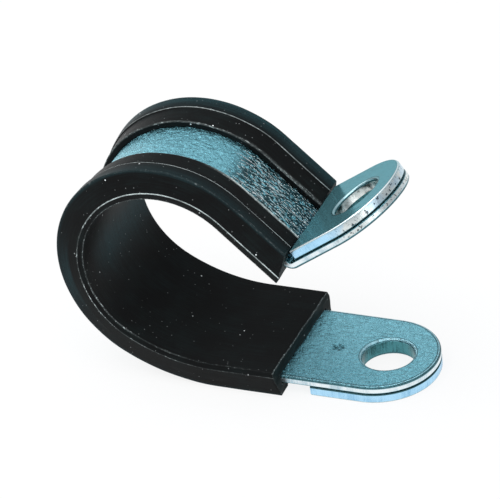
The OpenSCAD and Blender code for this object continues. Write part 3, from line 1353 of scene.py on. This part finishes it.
@dataclass
class ArmGrain:
    """Small raised flecks that a tool pressed into the band's outer face before the bend."""

    sizes: ClipSizes
    path: BandPath
    finish: ZincFinish
    run: float = 13.1 * MM
    end_gap: float = 0.12 * MM
    half_width: float = 3.35 * MM
    stations: int = 60
    rows: int = 9
    fleck: tuple[float, float, float] = (0.33 * MM, 0.10 * MM, 0.05 * MM)
    least: tuple[float, float, float] = (0.2, 0.4, 0.3)
    most: tuple[float, float, float] = (1.5, 1.2, 1.15)
    lean: tuple[float, float, float] = (0.08, 0.08, 0.45)
    spacing: float = 0.40 * MM
    density: float = 1.6e7
    sparse: float = 0.08
    fade: float = 3.5 * MM
    seed: int = 7

    def patch(self) -> bpy.types.Object:
        """The part of the outer face that carries the flecks.

        Returns:
            An open sheet with the flecks' density on its vertices.
        """
        end = self.path.start_of(ARM_LEG) + self.sizes.arm_run
        stations = np.linspace(end - self.run, end - self.end_gap, self.stations)
        rows = np.linspace(-self.half_width, self.half_width, self.rows)
        along, across = (part.ravel() for part in np.meshgrid(stations, rows, indexing="ij"))
        points = self.path.place(along, across, np.zeros(along.size))
        firsts = [i * self.rows + j for i in range(self.stations - 1) for j in range(self.rows - 1)]
        faces = [(i, i + self.rows, i + self.rows + 1, i + 1) for i in firsts]
        patch = new_piece("arm_grain_patch", points, faces, [])
        density = patch.data.attributes.new("density", "FLOAT", "POINT")
        fade = np.clip((along - stations[0]) / self.fade, self.sparse, 1)
        density.data.foreach_set("value", fade.astype(np.float32))
        return patch

    def tree(self, material: bpy.types.Material) -> bpy.types.NodeTree:
        """The node tree that scatters the flecks.

        Args:
            material: the flecks' finish.

        Returns:
            The tree, with inputs for the spacing, the density, the seed and the size.
        """
        tree = bpy.data.node_groups.new("scatter_flecks", "GeometryNodeTree")
        face = tree.interface
        face.new_socket("Geometry", in_out="INPUT", socket_type="NodeSocketGeometry")
        kinds = {"Spacing": "Float", "Density": "Float", "Seed": "Int", "Fleck": "Vector"}
        for name, kind in kinds.items():
            face.new_socket(name, in_out="INPUT", socket_type=f"NodeSocket{kind}")
        face.new_socket("Geometry", in_out="OUTPUT", socket_type="NodeSocketGeometry")

        def node(kind: str, settings: dict, links: dict) -> bpy.types.Node:
            """Makes a node.

            Args:
                kind: the node's type.
                settings: its properties, set first.
                links: values or sockets for its inputs, by name or by number.

            Returns:
                The node.
            """
            made = tree.nodes.new(kind)
            for key, value in settings.items():
                setattr(made, key, value)
            for key, value in links.items():
                if isinstance(value, bpy.types.NodeSocket):
                    tree.links.new(value, made.inputs[key])
                else:
                    made.inputs[key].default_value = value
            return made

        given = node("NodeGroupInput", {}, {}).outputs
        kind = {"data_type": "FLOAT"}
        density = node("GeometryNodeInputNamedAttribute", kind, {"Name": "density"})
        points = node(
            "GeometryNodeDistributePointsOnFaces",
            {"distribute_method": "POISSON"},
            {
                "Mesh": given["Geometry"],
                "Distance Min": given["Spacing"],
                "Density Max": given["Density"],
                "Density Factor": density.outputs["Attribute"],
                "Seed": given["Seed"],
            },
        )
        ahead = node(
            "ShaderNodeVectorMath",
            {"operation": "CROSS_PRODUCT"},
            {0: (0.0, 1.0, 0.0), 1: points.outputs["Normal"]},
        )
        upright = node(
            "FunctionNodeAxesToRotation",
            {"primary_axis": "Z", "secondary_axis": "X"},
            {0: points.outputs["Normal"], 1: ahead.outputs[0]},
        )
        back = tuple(-part for part in self.lean)
        swing = node(
            "FunctionNodeRandomValue",
            {"data_type": "FLOAT_VECTOR"},
            {0: back, 1: self.lean, "Seed": given["Seed"]},
        )
        turned = node(
            "FunctionNodeRotateRotation",
            {"rotation_space": "LOCAL"},
            {0: upright.outputs[0], 1: swing.outputs[0]},
        )
        spread = node(
            "FunctionNodeRandomValue",
            {"data_type": "FLOAT_VECTOR"},
            {0: self.least, 1: self.most, "Seed": given["Seed"]},
        )
        scale = node(
            "ShaderNodeVectorMath",
            {"operation": "MULTIPLY"},
            {0: spread.outputs[0], 1: given["Fleck"]},
        )
        shape = node("GeometryNodeMeshIcoSphere", {}, {"Radius": 1.0, "Subdivisions": 2})
        placed = node(
            "GeometryNodeInstanceOnPoints",
            {},
            {
                "Points": points.outputs["Points"],
                "Instance": shape.outputs[0],
                "Rotation": turned.outputs[0],
                "Scale": scale.outputs[0],
            },
        )
        real = node("GeometryNodeRealizeInstances", {}, {0: placed.outputs[0]})
        smooth = node("GeometryNodeSetShadeSmooth", {}, {0: real.outputs[0]})
        paint = {"Geometry": smooth.outputs[0], "Material": material}
        painted = node("GeometryNodeSetMaterial", {}, paint)
        node("NodeGroupOutput", {}, {0: painted.outputs[0]})
        return tree

    def build(self) -> bpy.types.Object:
        """Scatters the flecks and turns them into a plain mesh.

        Returns:
            The piece.
        """
        patch = self.patch()
        material = self.finish.material()
        tree = self.tree(material)
        modifier = patch.modifiers.new("flecks", "NODES")
        modifier.node_group = tree
        values = {
            "Spacing": self.spacing,
            "Density": self.density,
            "Seed": self.seed,
            "Fleck": self.fleck,
        }
        for item in tree.interface.items_tree:
            if item.in_out == "INPUT" and item.name in values:
                modifier[item.identifier] = values[item.name]
        evaluated = patch.evaluated_get(bpy.context.evaluated_depsgraph_get())
        mesh = bpy.data.meshes.new_from_object(evaluated)
        patch.modifiers.clear()
        bpy.data.objects.remove(patch)
        piece = bpy.data.objects.new("arm_grain", mesh)
        bpy.context.scene.collection.objects.link(piece)
        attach(piece, BODY)
        return piece


# ---- The liner -------------------------------------------------------------------------------


@dataclass(frozen=True)
class SectionCorner:
    """A corner of the liner's section: where it is, how round, and how strong the highlights
    painted along it are.

    One painted highlight is broken up into dots along the corner, and the other is an unbroken
    line.
    """

    height: float
    across: float
    radius: float
    # The next two values are painted highlights along the corner: in dots, and unbroken.
    wear: float = 0.0
    steady: float = 0.0

    def mirrored(self) -> "SectionCorner":
        """The same corner on the other side."""
        return SectionCorner(self.height, -self.across, self.radius, self.wear, self.steady)


def rounded(corners: list[SectionCorner], step: float) -> tuple[np.ndarray, np.ndarray]:
    """A closed section with its corners rounded and its flats divided.

    Args:
        corners: the corners, in order.
        step: the longest stretch of a flat between two points.

    Returns:
        Heights and places across, one row a point, and each point's painted highlights, in dots and
        unbroken.
    """
    guard, turn_step = 0.05 * MM, 14
    spots = np.array([[corner.height, corner.across] for corner in corners])
    points, painted_light_and_mark_rows = [], []
    for i, corner in enumerate(corners):
        before = spots[i - 1] - spots[i]
        after = spots[(i + 1) % len(corners)] - spots[i]
        before, after = before / np.linalg.norm(before), after / np.linalg.norm(after)
        half = math.acos(max(-1.0, min(1.0, float(before @ after)))) / 2
        trim = corner.radius / math.tan(half)
        bisector = (before + after) / np.linalg.norm(before + after)
        centre = spots[i] + bisector * corner.radius / math.sin(half)
        first, last = spots[i] + before * trim - centre, spots[i] + after * trim - centre
        swing = math.pi - 2 * half
        shares = np.linspace(0, 1, max(3, math.ceil(math.degrees(swing) / turn_step)) + 1)
        bow = [
            (math.sin((1 - t) * swing) * first + math.sin(t * swing) * last) / math.sin(swing)
            for t in shares
        ]
        lead_in, lead_out = centre + first + before * guard, centre + last + after * guard
        points += [lead_in, *(centre + np.array(bow)), lead_out]
        bell = np.clip(np.sin(math.pi * shares) * 1.6, 0.6, 1)
        painted_light_and_mark_rows += [np.zeros(2), *(np.outer(bell, [corner.wear, corner.steady])), np.zeros(2)]
    flat, wear = [], []
    for i, start in enumerate(points):
        j = (i + 1) % len(points)
        parts = max(1, math.ceil(float(np.linalg.norm(points[j] - start)) / step))
        flat += [start + (points[j] - start) * k / parts for k in range(parts)]
        wear += [painted_light_and_mark_rows[i] + (painted_light_and_mark_rows[j] - painted_light_and_mark_rows[i]) * k / parts for k in range(parts)]
    return np.array(flat), np.array(wear)


@dataclass(frozen=True)
class RubberMarks:
    """Where the liner carries painted highlight lines and a painted sheen, and how much of them
    each side takes.
    """

    # The lips' painted highlight, stronger towards the sharp bend and on the near side.
    lip_band: float = 0.3 * MM
    lip_depth: float = 0.16 * MM
    lip_highlight_run: float = 15 * MM
    lip_highlight: float = 1.3
    far_lip_highlight: float = 0.3
    # How strong the unbroken painted highlight lines are on each side.
    near_line: float = 1.5
    far_line: float = 0.5
    lip_highlight_line: float = 0.8
    # The painted highlights along the bore: faint under the foot, growing past it and where the
    # knee climbs.
    knee_band: float = 0.2 * MM
    foot_fade: float = 22 * MM
    fade_run: float = 9 * MM
    foot_highlight: float = 0.1
    foot_line: float = 0.2
    climbing_line: float = 4.3
    # Where the painted sheen lies: the outer tiers, more on the far side, and the bore and outer
    # wall faces where the ring turns upward.
    sheen_at: float = 43.5 * MM
    sheen_run: float = 3.2 * MM
    tier_band: float = 0.3 * MM
    near_tier: float = 0.4
    pad_band: float = 0.05 * MM
    pad_from: float = -7 * MM
    pad_run: float = 5 * MM
    pad_sheen: float = 0.8
    wall_from: float = -0.4 * MM
    wall_sheen: float = 0.5
    # The painted highlight along a cut end's edge: strong along the bore, weaker elsewhere.
    cut_highlight: float = 0.9
    cut_band: float = 0.3 * MM
    cut_rest: float = 0.18


@dataclass
class RubberChannel:
    """The rubber liner, which wraps the band's edges and pads the ring's bore."""

    sizes: ClipSizes
    path: BandPath
    finish: RubberFinish
    cut_finish: RubberFinish
    marks: RubberMarks = RubberMarks()
    pad_depth: float = 1.5 * MM
    bore_width: float = 18.2 * MM
    knee_width: float = 18.7 * MM
    knee_rise: float = 0.7 * MM
    shoulder_width: float = 16.9 * MM
    step_width: float = 12.4 * MM
    step_height: float = 0.2 * MM
    lip_gap: float = 7.1 * MM
    lip_height: float = 0.85 * MM
    tier_fall: float = 0.15 * MM
    fit: float = 0.05 * MM
    edge_round: float = 0.08 * MM
    cut_wander: float = 0.07 * MM
    pull: float = 0.035 * MM
    sag: float = 0.05 * MM
    knee_climb: float = 0.45 * MM
    climb_from: float = 52 * MM
    climb_run: float = 22 * MM
    section_step: float = 0.3 * MM
    grid: float = 0.45 * MM
    bend_step: float = math.radians(1.7)
    cap_grid: float = 0.16 * MM
    cap_margin: float = 0.09 * MM
    crease: float = math.radians(40)

    @property
    def bore(self) -> float:
        """Height of the ring's bore on the section."""
        return -self.sizes.band_thickness - self.pad_depth

    def half_section(self) -> list[SectionCorner]:
        """The half of the section on the +Y side.

        Returns:
            Its corners, from the bore round to the band's inner face.
        """
        top = self.sizes.stack_height
        floor = -self.sizes.band_thickness
        knee = self.bore + self.knee_rise
        side = self.sizes.band_width / 2 + self.fit
        tier, step = top - self.tier_fall, self.step_width / 2
        lip = self.lip_gap / 2
        return [
            # Highlights are painted along the bore's edge, the knee, the shoulder, the step and the
            # lip.
            SectionCorner(self.bore, self.bore_width / 2, 0.12 * MM, wear=0.8),
            SectionCorner(knee, self.knee_width / 2, 0.14 * MM, wear=1.0, steady=0.15),
            SectionCorner(top, self.shoulder_width / 2, 0.2 * MM, wear=0.12),
            SectionCorner(tier, step + self.step_height, 0.09 * MM, wear=0.4, steady=0.9),
            SectionCorner(tier - self.step_height, step, 0.07 * MM),
            SectionCorner(self.lip_height, lip, 0.16 * MM, wear=0.45, steady=0.1),
            SectionCorner(self.fit, lip, 0.09 * MM),
            SectionCorner(self.fit, side, 0.04 * MM),
            SectionCorner(floor - self.fit, side, 0.04 * MM),
        ]

    def section(self) -> tuple[np.ndarray, np.ndarray]:
        """The whole section as heights and places across, and its painted highlights, in dots and
        unbroken.
        """
        half = self.half_section()
        return rounded(half + [corner.mirrored() for corner in half[::-1]], self.section_step)

    def shift(self, share: np.ndarray, height: np.ndarray, across: np.ndarray) -> np.ndarray:
        """Distance along the path of points on the sweep.

        Args:
            share: how far along the liner they are, from 0 to 1.
            height: their heights.
            across: their places across.

        Returns:
            Distances along the path.
        """
        sizes = self.sizes
        drop = sizes.stack_height - height
        arm_end = self.path.start_of(ARM_LEG) + sizes.arm_run
        wander = self.cut_wander * np.sin(across / MM * 0.95 + 2.2 * height / MM)
        wander = np.maximum(0, wander)
        low = sizes.lower_end + drop * math.tan(sizes.lower_lean) + wander
        high = arm_end - sizes.upper_end + drop * math.tan(sizes.upper_lean) - wander
        return low + share * (high - low)

    def sway(
        self, along: np.ndarray, height: np.ndarray, across: np.ndarray
    ) -> tuple[np.ndarray, np.ndarray]:
        """The slight waver of a soft extrusion, kept inside the section's limits.

        Args:
            along: distances along the path.
            height: heights on the section.
            across: places across on the section.

        Returns:
            The new heights and places across.
        """
        run, side = along / MM, np.sign(across)
        pull = self.pull * swell(run, 0.42, 1.3 * side) * swell(run, 1.13, side)
        sag = self.sag * swell(run, 0.61, 2.1 * side)
        rail = (np.abs(across) < self.step_width / 2 + 0.5 * MM) & (height > self.fit * 1.5)
        height = height - np.where(rail, sag, 0) + self.climb(along, height, across)
        return height, across - side * pull * (height > 0)

    def climb(self, along: np.ndarray, height: np.ndarray, across: np.ndarray) -> np.ndarray:
        """How far the outer walls' knee rises towards the arm.

        Args:
            along: distances along the path.
            height: heights on the section.
            across: places across on the section.

        Returns:
            Heights to add, greatest at the knee and none at the bore and the shoulder.
        """
        knee, top = self.bore + self.knee_rise, self.sizes.stack_height
        wall = np.abs(across) > self.sizes.band_width / 2 + self.fit + 0.3 * MM
        below, above = (height - self.bore) / self.knee_rise, (top - height) / (top - knee)
        share = np.clip(np.minimum(below, above), 0, 1)
        run = ramped(along, self.climb_from, self.climb_run)
        return self.knee_climb * wall * share * run * run * (3 - 2 * run)

    def cut_edge_highlight(self, height: np.ndarray) -> np.ndarray:
        """Painted highlight of a cut end's edge at heights on the section: strong along the bore.
        """
        marks = self.marks
        return marks.cut_highlight * np.where(height < self.bore + marks.cut_band, 1.0, marks.cut_rest)

    def ring_marks(
        self, section: np.ndarray, worn: np.ndarray, share: float, length: float
    ) -> np.ndarray:
        """Marks on one ring of the sweep.

        Args:
            section: heights and places across.
            worn: the section's own painted highlights, in dots and unbroken.
            share: how far along the liner the ring is.
            length: the liner's length.

        Returns:
            Painted highlights in dots and unbroken, and painted sheen, one row a point. The lips'
            painted highlight grows towards the sharp bend.
        """
        marks, (height, across) = self.marks, section.T
        near_side, along = across < 0, self.sizes.lower_end + share * length
        close = 2.0 * (share * length - length + marks.lip_highlight_run) / marks.lip_highlight_run
        rim = np.abs(across) < self.lip_gap / 2 + marks.lip_band
        lip = rim & (height > self.lip_height - marks.lip_depth)
        lip_highlight_mask = lip * float(np.clip(close, 0, 1))
        knee = self.knee_rise + marks.knee_band
        under = height < knee - self.sizes.band_thickness - self.pad_depth
        past_foot = ramped(along, marks.foot_fade, marks.fade_run)
        climbing = ramped(along, self.climb_from, marks.fade_run)
        # Painted highlights along the corners: in dots, and unbroken.
        wear = worn[:, 0] + lip_highlight_mask * marks.lip_highlight * np.where(near_side, 1.0, marks.far_lip_highlight)
        wear = wear * np.where(under, marks.foot_highlight + (1 - marks.foot_highlight) * past_foot, 1.0)
        steady = worn[:, 1] * np.where(near_side, marks.near_line, marks.far_line)
        steady = steady + lip_highlight_mask * np.where(near_side, marks.lip_highlight_line, 0)
        steady = steady * np.where(under, marks.foot_line + marks.climbing_line * climbing, 1.0)
        return np.column_stack([wear, steady, self.bloom(height, across, along)])

    def bloom(self, height: np.ndarray, across: np.ndarray, along: float) -> np.ndarray:
        """The painted sheen on one ring of the sweep.

        Args:
            height: heights on the section.
            across: places across on the section.
            along: the ring's distance along the path.

        Returns:
            How strong it is: it lies on the outer tiers and where the ring turns upward.
        """
        marks = self.marks
        inner, outer = self.step_width / 2 + self.step_height, self.shoulder_width / 2
        turning = math.exp(-(((along - marks.sheen_at) / marks.sheen_run) ** 2))
        tier = ramped(np.abs(across), inner, outer - inner)
        tier = tier * (height > self.sizes.stack_height - marks.tier_band)
        tier = tier * np.where(across > 0, 1.0, marks.near_tier)
        pad = (height < marks.pad_band - self.sizes.band_thickness - self.pad_depth) * turning
        pad = pad * ramped(across, marks.pad_from, marks.pad_run)
        wall = (np.abs(across) > outer) * (height > marks.wall_from) * math.sqrt(turning)
        return np.maximum(np.maximum(tier, pad * marks.pad_sheen), wall * marks.wall_sheen)

    def cap_points(self, loop: np.ndarray) -> np.ndarray:
        """Points that hold a cut end's wear at its rim.

        Args:
            loop: the cut end's outline.

        Returns:
            Points inside the outline, a little way in from it.
        """
        low, high = loop.min(axis=0), loop.max(axis=0)
        spans = [np.arange(low[i], high[i], self.cap_grid) for i in (0, 1)]
        across, height = np.meshgrid(*spans)
        points = np.stack([across.ravel(), height.ravel()], -1)
        return points[inside_by(points, loop, self.cap_margin)]

    def rings(self) -> tuple[list[tuple[float, float]], float, int]:
        """The rings of the sweep.

        Returns:
            How far along the liner each ring is and how far it is drawn in, then the liner's
            length, and how many rings round each cut end's edge.
        """
        sizes, edge = self.sizes, self.edge_round
        arm_end = self.path.start_of(ARM_LEG) + sizes.arm_run
        base = self.path.stations(sizes.lower_end, arm_end, self.grid, self.bend_step)
        shares = (base - base[0]) / (base[-1] - base[0])
        length = base[-1] - base[0]
        ends = [(0.0, edge), (0.3 * edge, 0.3 * edge), (edge, 0.0)]
        low, high = 1.5 * edge, length - 1.5 * edge
        rings = [(run / length, inset) for run, inset in ends]
        rings += [(share, 0.0) for share in shares if low < share * length < high]
        rings += [(1 - run / length, inset) for run, inset in reversed(ends)]
        return rings, length, len(ends)

    def build(self) -> bpy.types.Object:
        """Sweeps the section, closes its cut ends and puts it in the place of its solid.

        Returns:
            The piece.
        """
        section, worn = self.section()
        count = len(section)
        rings, length, rounding = self.rings()
        loop = section[:, ::-1]
        clockwise = self._area(loop) < 0
        flats, faces, kinds, layouts, marks = [], [], [], [], []
        rim = np.concatenate([[0], np.cumsum(np.linalg.norm(np.diff(section, axis=0), axis=1))])
        for number, (share, inset) in enumerate(rings):
            moved = moved_in(loop, -inset if clockwise else inset)
            flats.append(np.column_stack([np.full(count, share), moved[:, 1], moved[:, 0]]))
            layouts.append(np.column_stack([np.full(count, share * length), rim]))
            marks.append(self.ring_marks(section, worn, share, length))
            # A cut end's edge gets a painted highlight, strongest along the bore.
            if number < rounding - 1 or number > len(rings) - rounding:
                marks[-1][:, 0] = self.cut_edge_highlight(section[:, 0])
            if number:
                last, now = (number - 1) * count, number * count
                turns = [(i, (i + 1) % count) for i in range(count)]
                faces += [(last + i, last + j, now + j, now + i) for i, j in turns]
                kinds += [RubberFace.SKIN] * count
        for ring, share in ((0, 0.0), (len(rings) - 1, 1.0)):
            rim_loop = flats[ring][:, [2, 1]]
            turned = rim_loop[::-1] if clockwise else rim_loop
            points, triangles = fill([turned], self.cap_points(turned))
            start = sum(len(flat) for flat in flats)
            rim_highlight = self.cut_edge_highlight(points[:, 1])
            rim_highlight[count:] = 0
            flats.append(np.column_stack([np.full(len(points), share), points[:, 1], points[:, 0]]))
            layouts.append(points)
            marks.append(np.column_stack([rim_highlight, np.zeros((len(points), 2))]))
            faces += [tuple(int(i) + start for i in face) for face in triangles]
            kinds += [RubberFace.CUT] * len(triangles)
        flat = np.concatenate(flats)
        along = self.shift(flat[:, 0], flat[:, 1], flat[:, 2])
        height, across = self.sway(along, flat[:, 1], flat[:, 2])
        points = self.path.place(along, across, height)
        finishes = [self.finish.material(), self.cut_finish.material()]
        piece = new_piece("rubber_channel", points, faces, finishes)
        piece.data.polygons.foreach_set("material_index", np.array(kinds, np.int32))
        # Painted highlights and painted sheen, stored as attributes.
        painted_light_layers = dict(zip(("wear", "steady", "bloom"), np.concatenate(marks).T))
        add_layers(piece.data, np.concatenate(layouts), painted_light_layers)
        close_and_smooth(piece, self.crease)
        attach(piece, BODY)
        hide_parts("liner")
        return piece

    @staticmethod
    def _area(loop: np.ndarray) -> float:
        """Signed area of a closed loop, positive when it runs anticlockwise."""
        following = np.roll(loop, -1, axis=0)
        return float((loop[:, 0] * following[:, 1] - following[:, 0] * loop[:, 1]).sum() / 2)


# ---- The studio ------------------------------------------------------------------------------


@dataclass(frozen=True)
class FloorFinish:
    """A matt white sweep that stays white behind the clip and still takes its shadow."""

    name: str = "white_sweep"
    colour: Colour = (0.86, 0.87, 0.88)
    keep_white: float = 0.86
    fine: Pattern = Pattern(900, 3)

    def material(self) -> bpy.types.Material:
        """Makes the finish.

        Returns:
            The node material.
        """
        material, bench = new_material(self.name)
        grain = bench.noise(bench.where(), self.fine)
        colour = bench.mix(grain.ramp(0.3, 0.7), rgba(self.colour), rgba(self.colour, 0.985))
        matt = bench.add("ShaderNodeBsdfDiffuse", {}, {"Color": colour})[0]
        glow = bench.add("ShaderNodeEmission", {}, {"Color": rgba((1, 1, 1)), "Strength": 1.0})[0]
        path = bench.add("ShaderNodeLightPath", {}, {})
        seen = (path[0] + path[3] + path[6]).ramp(0.0, 0.5) * self.keep_white
        surface = bench.add("ShaderNodeMixShader", {}, {0: seen, 1: matt, 2: glow})[0]
        bench.add("ShaderNodeOutputMaterial", {}, {"Surface": surface})
        return material


@dataclass(frozen=True)
class SoftBox:
    """A square area lamp that looks at the clip."""

    name: str
    azimuth: float
    elevation: float
    distance: float
    size: float
    power: float

    def place(self, target: Vector) -> None:
        """Adds the lamp to the scene.

        Args:
            target: the point that it looks at.
        """
        lamp = bpy.data.lights.new(self.name, "AREA")
        lamp.shape = "SQUARE"
        lamp.size = self.size
        lamp.energy = self.power
        away = direction(self.azimuth, self.elevation)
        holder = bpy.data.objects.new(self.name, lamp)
        holder.location = target + away * self.distance
        holder.rotation_euler = away.to_track_quat("Z", "Y").to_euler()
        bpy.context.scene.collection.objects.link(holder)


@dataclass
class Studio:
    """The floor, the lamps, the surroundings and the camera."""

    target: Vector = field(default_factory=lambda: Vector((-17.138, 0.283, 15.156)) * MM)
    camera_azimuth: float = math.radians(-63.1825)
    camera_elevation: float = math.radians(33.1553)
    camera_distance: float = 911.75 * MM
    camera_roll: float = math.radians(-7.7327)
    lens: float = 531.79
    sensor_width: float = 36.0
    clip_start: float = 0.01
    clip_end: float = 100.0
    floor_rings: tuple[float, ...] = (0.05, 0.15, 0.5, 2.0, 12.0)
    floor_sides: int = 96
    floor_gap: float = 0.03 * MM
    floor_finish: FloorFinish = field(default_factory=FloorFinish)
    lamps: tuple[SoftBox, ...] = (
        SoftBox("overhead", math.radians(-120), math.radians(72), 0.9, 0.7, 4.2),
        SoftBox("left", math.radians(175), math.radians(38), 0.9, 0.6, 2.4),
        SoftBox("front", math.radians(-40), math.radians(25), 1.1, 0.6, 1.6),
    )
    sky: tuple[tuple[float, Colour], ...] = (
        (0.0, (0.62, 0.64, 0.66)),
        (0.12, (0.80, 0.82, 0.84)),
        (0.35, (0.40, 0.43, 0.46)),
        (0.62, (0.46, 0.48, 0.50)),
        (0.9, (0.95, 0.97, 1.0)),
    )

    def build(self) -> None:
        """Sets up the whole studio."""
        self.lay_floor()
        self.light_surroundings()
        for lamp in self.lamps:
            lamp.place(self.target)
        self.place_camera()
        bpy.context.scene.view_settings.view_transform = "Standard"

    def lay_floor(self) -> None:
        """Lays a round floor just under the clip."""
        sides, depth = self.floor_sides, -self.floor_gap
        turns = np.linspace(0, math.tau, sides + 1)[:-1]
        points = [(0.0, 0.0, depth)]
        faces: list[tuple[int, ...]] = []
        for number, radius in enumerate(self.floor_rings):
            first = 1 + number * sides
            points += [(radius * math.cos(t), radius * math.sin(t), depth) for t in turns]
            for i in range(sides):
                j = (i + 1) % sides
                inner = (0,) if number == 0 else (first - sides + i, first - sides + j)
                faces.append((first + i, first + j) + tuple(reversed(inner)))
        floor = new_piece("floor", np.array(points), faces, [self.floor_finish.material()])

    def light_surroundings(self) -> None:
        """A room that is pale near the horizon, greyer above it and pale again overhead."""
        world = bpy.data.worlds.new("studio_room")
        bpy.context.scene.world = world
        world.use_nodes = True
        bench = NodeBench(world.node_tree)
        where = bench.add("ShaderNodeTexCoord", {}, {})[0]
        rise = bench.add("ShaderNodeSeparateXYZ", {}, {0: where})[2]
        stops = [(height, rgba(colour)) for height, colour in self.sky]
        colour = bench.add("ShaderNodeValToRGB", {"stops": stops}, {0: rise})[0]
        room = bench.add("ShaderNodeBackground", {}, {"Color": colour, "Strength": 1.0})[0]
        bench.add("ShaderNodeOutputWorld", {}, {"Surface": room})

    def place_camera(self) -> None:
        """Adds the camera and makes it the scene's own."""
        away = direction(self.camera_azimuth, self.camera_elevation)
        level = Vector((0, 0, 1)).cross(away).normalized()
        upright = away.cross(level)
        roll = self.camera_roll
        right = level * math.cos(roll) + upright * math.sin(roll)
        up = upright * math.cos(roll) - level * math.sin(roll)
        place = self.target + away * self.camera_distance
        camera = bpy.data.cameras.new("camera")
        camera.lens = self.lens
        camera.sensor_width = self.sensor_width
        camera.clip_start, camera.clip_end = self.clip_start, self.clip_end
        holder = bpy.data.objects.new("camera", camera)
        facing = Matrix((right, up, away)).transposed().to_4x4()
        holder.matrix_world = Matrix.Translation(place) @ facing
        bpy.context.scene.collection.objects.link(holder)
        bpy.context.scene.camera = holder


# ---- Putting it together ---------------------------------------------------------------------


def main() -> None:
    """Builds the clip and its studio, and logs each piece's face count."""
    logging.basicConfig(level=logging.INFO, format="%(message)s")
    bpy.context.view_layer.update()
    sizes = ClipSizes()
    path = band_path(sizes)
    arm_end = path.start_of(ARM_LEG) + sizes.arm_run
    stippled = {"stipple_from": arm_end - 13.35 * MM, "stipple_to": arm_end}
    rolled = ZincFinish("zinc_face", stipple=1.0, **stippled)
    # The holes' wall faces are painted dark as the shade inside a hole.
    walls = ShearFinish(
        "hole_wall_painted_shade",
        light=(0.075, 0.25, 0.28),
        dark=(0.008, 0.026, 0.028),
        tear_contrast=0.5,
    )
    # The upper hole's wall is painted with pale and dark patches as reflections.
    painted_reflection_walls = ShearFinish(
        "hole_wall_painted_reflection",
        light=(0.90, 0.93, 0.90),
        dark=(0.03, 0.05, 0.05),
        tear_contrast=0.15,
        patching=Pattern(700, 3, 0.55),
    )
    plate_face = ZincFinish(
        "zinc_plate_face",
        light=(0.14, 0.36, 0.41),
        dark=(0.11, 0.29, 0.33),
        grazing=(0.22, 0.47, 0.53),
        metallic=0.62,
        roughness=0.15,
        roughness_swing=0.06,
        grain=0.16,
        pits=0.6,
        scratches=0.6,
        emboss=0.4,
        relief_depth=0.10 * MM,
    )
    tip_wear = {"worn_from": path.length - 2 * MM, "worn_to": path.length + 2.5 * MM}
    blue = {"light": (0.46, 0.76, 0.98), "dark": (0.26, 0.52, 0.74)}
    band_edge = ShearFinish("sheared_band_edge", **tip_wear)
    lower_edge = ShearFinish("lower_plate_edge", **blue)
    upper_edge = ShearFinish("upper_plate_edge", **blue, **tip_wear)
    band_finishes = SteelFinishes(rolled, band_edge, walls)
    lower_finishes = SteelFinishes(plate_face, lower_edge, walls)
    upper_finishes = SteelFinishes(plate_face, upper_edge, painted_reflection_walls)
    flecks = ZincFinish(
        "zinc_fleck", light=(0.74, 0.86, 0.86), dark=(0.16, 0.30, 0.33), roughness=0.2
    )
    rubber = RubberFinish("black_rubber_skin")
    cut = RubberFinish(
        "black_rubber_cut",
        base=(0.008, 0.012, 0.012),
        worn=(0.024, 0.034, 0.035),
        roughness=0.5,
    )

    parts = [
        SpringBand(sizes, path, band_finishes),
        RubberChannel(sizes, liner_path(sizes), rubber, cut),
        StiffeningPlate(sizes, path, lower_finishes, end=PlateEnd.LOWER),
        StiffeningPlate(sizes, path, upper_finishes, end=PlateEnd.UPPER, wave_seed=31),
        ArmGrain(sizes, path, flecks),
    ]
    for part in parts:
        piece = part.build()
        LOG.info("%s: %d faces", piece.name, len(piece.data.polygons))
    Studio().build()
    LOG.info("studio: ready")


if __name__ == "__main__":
    main()
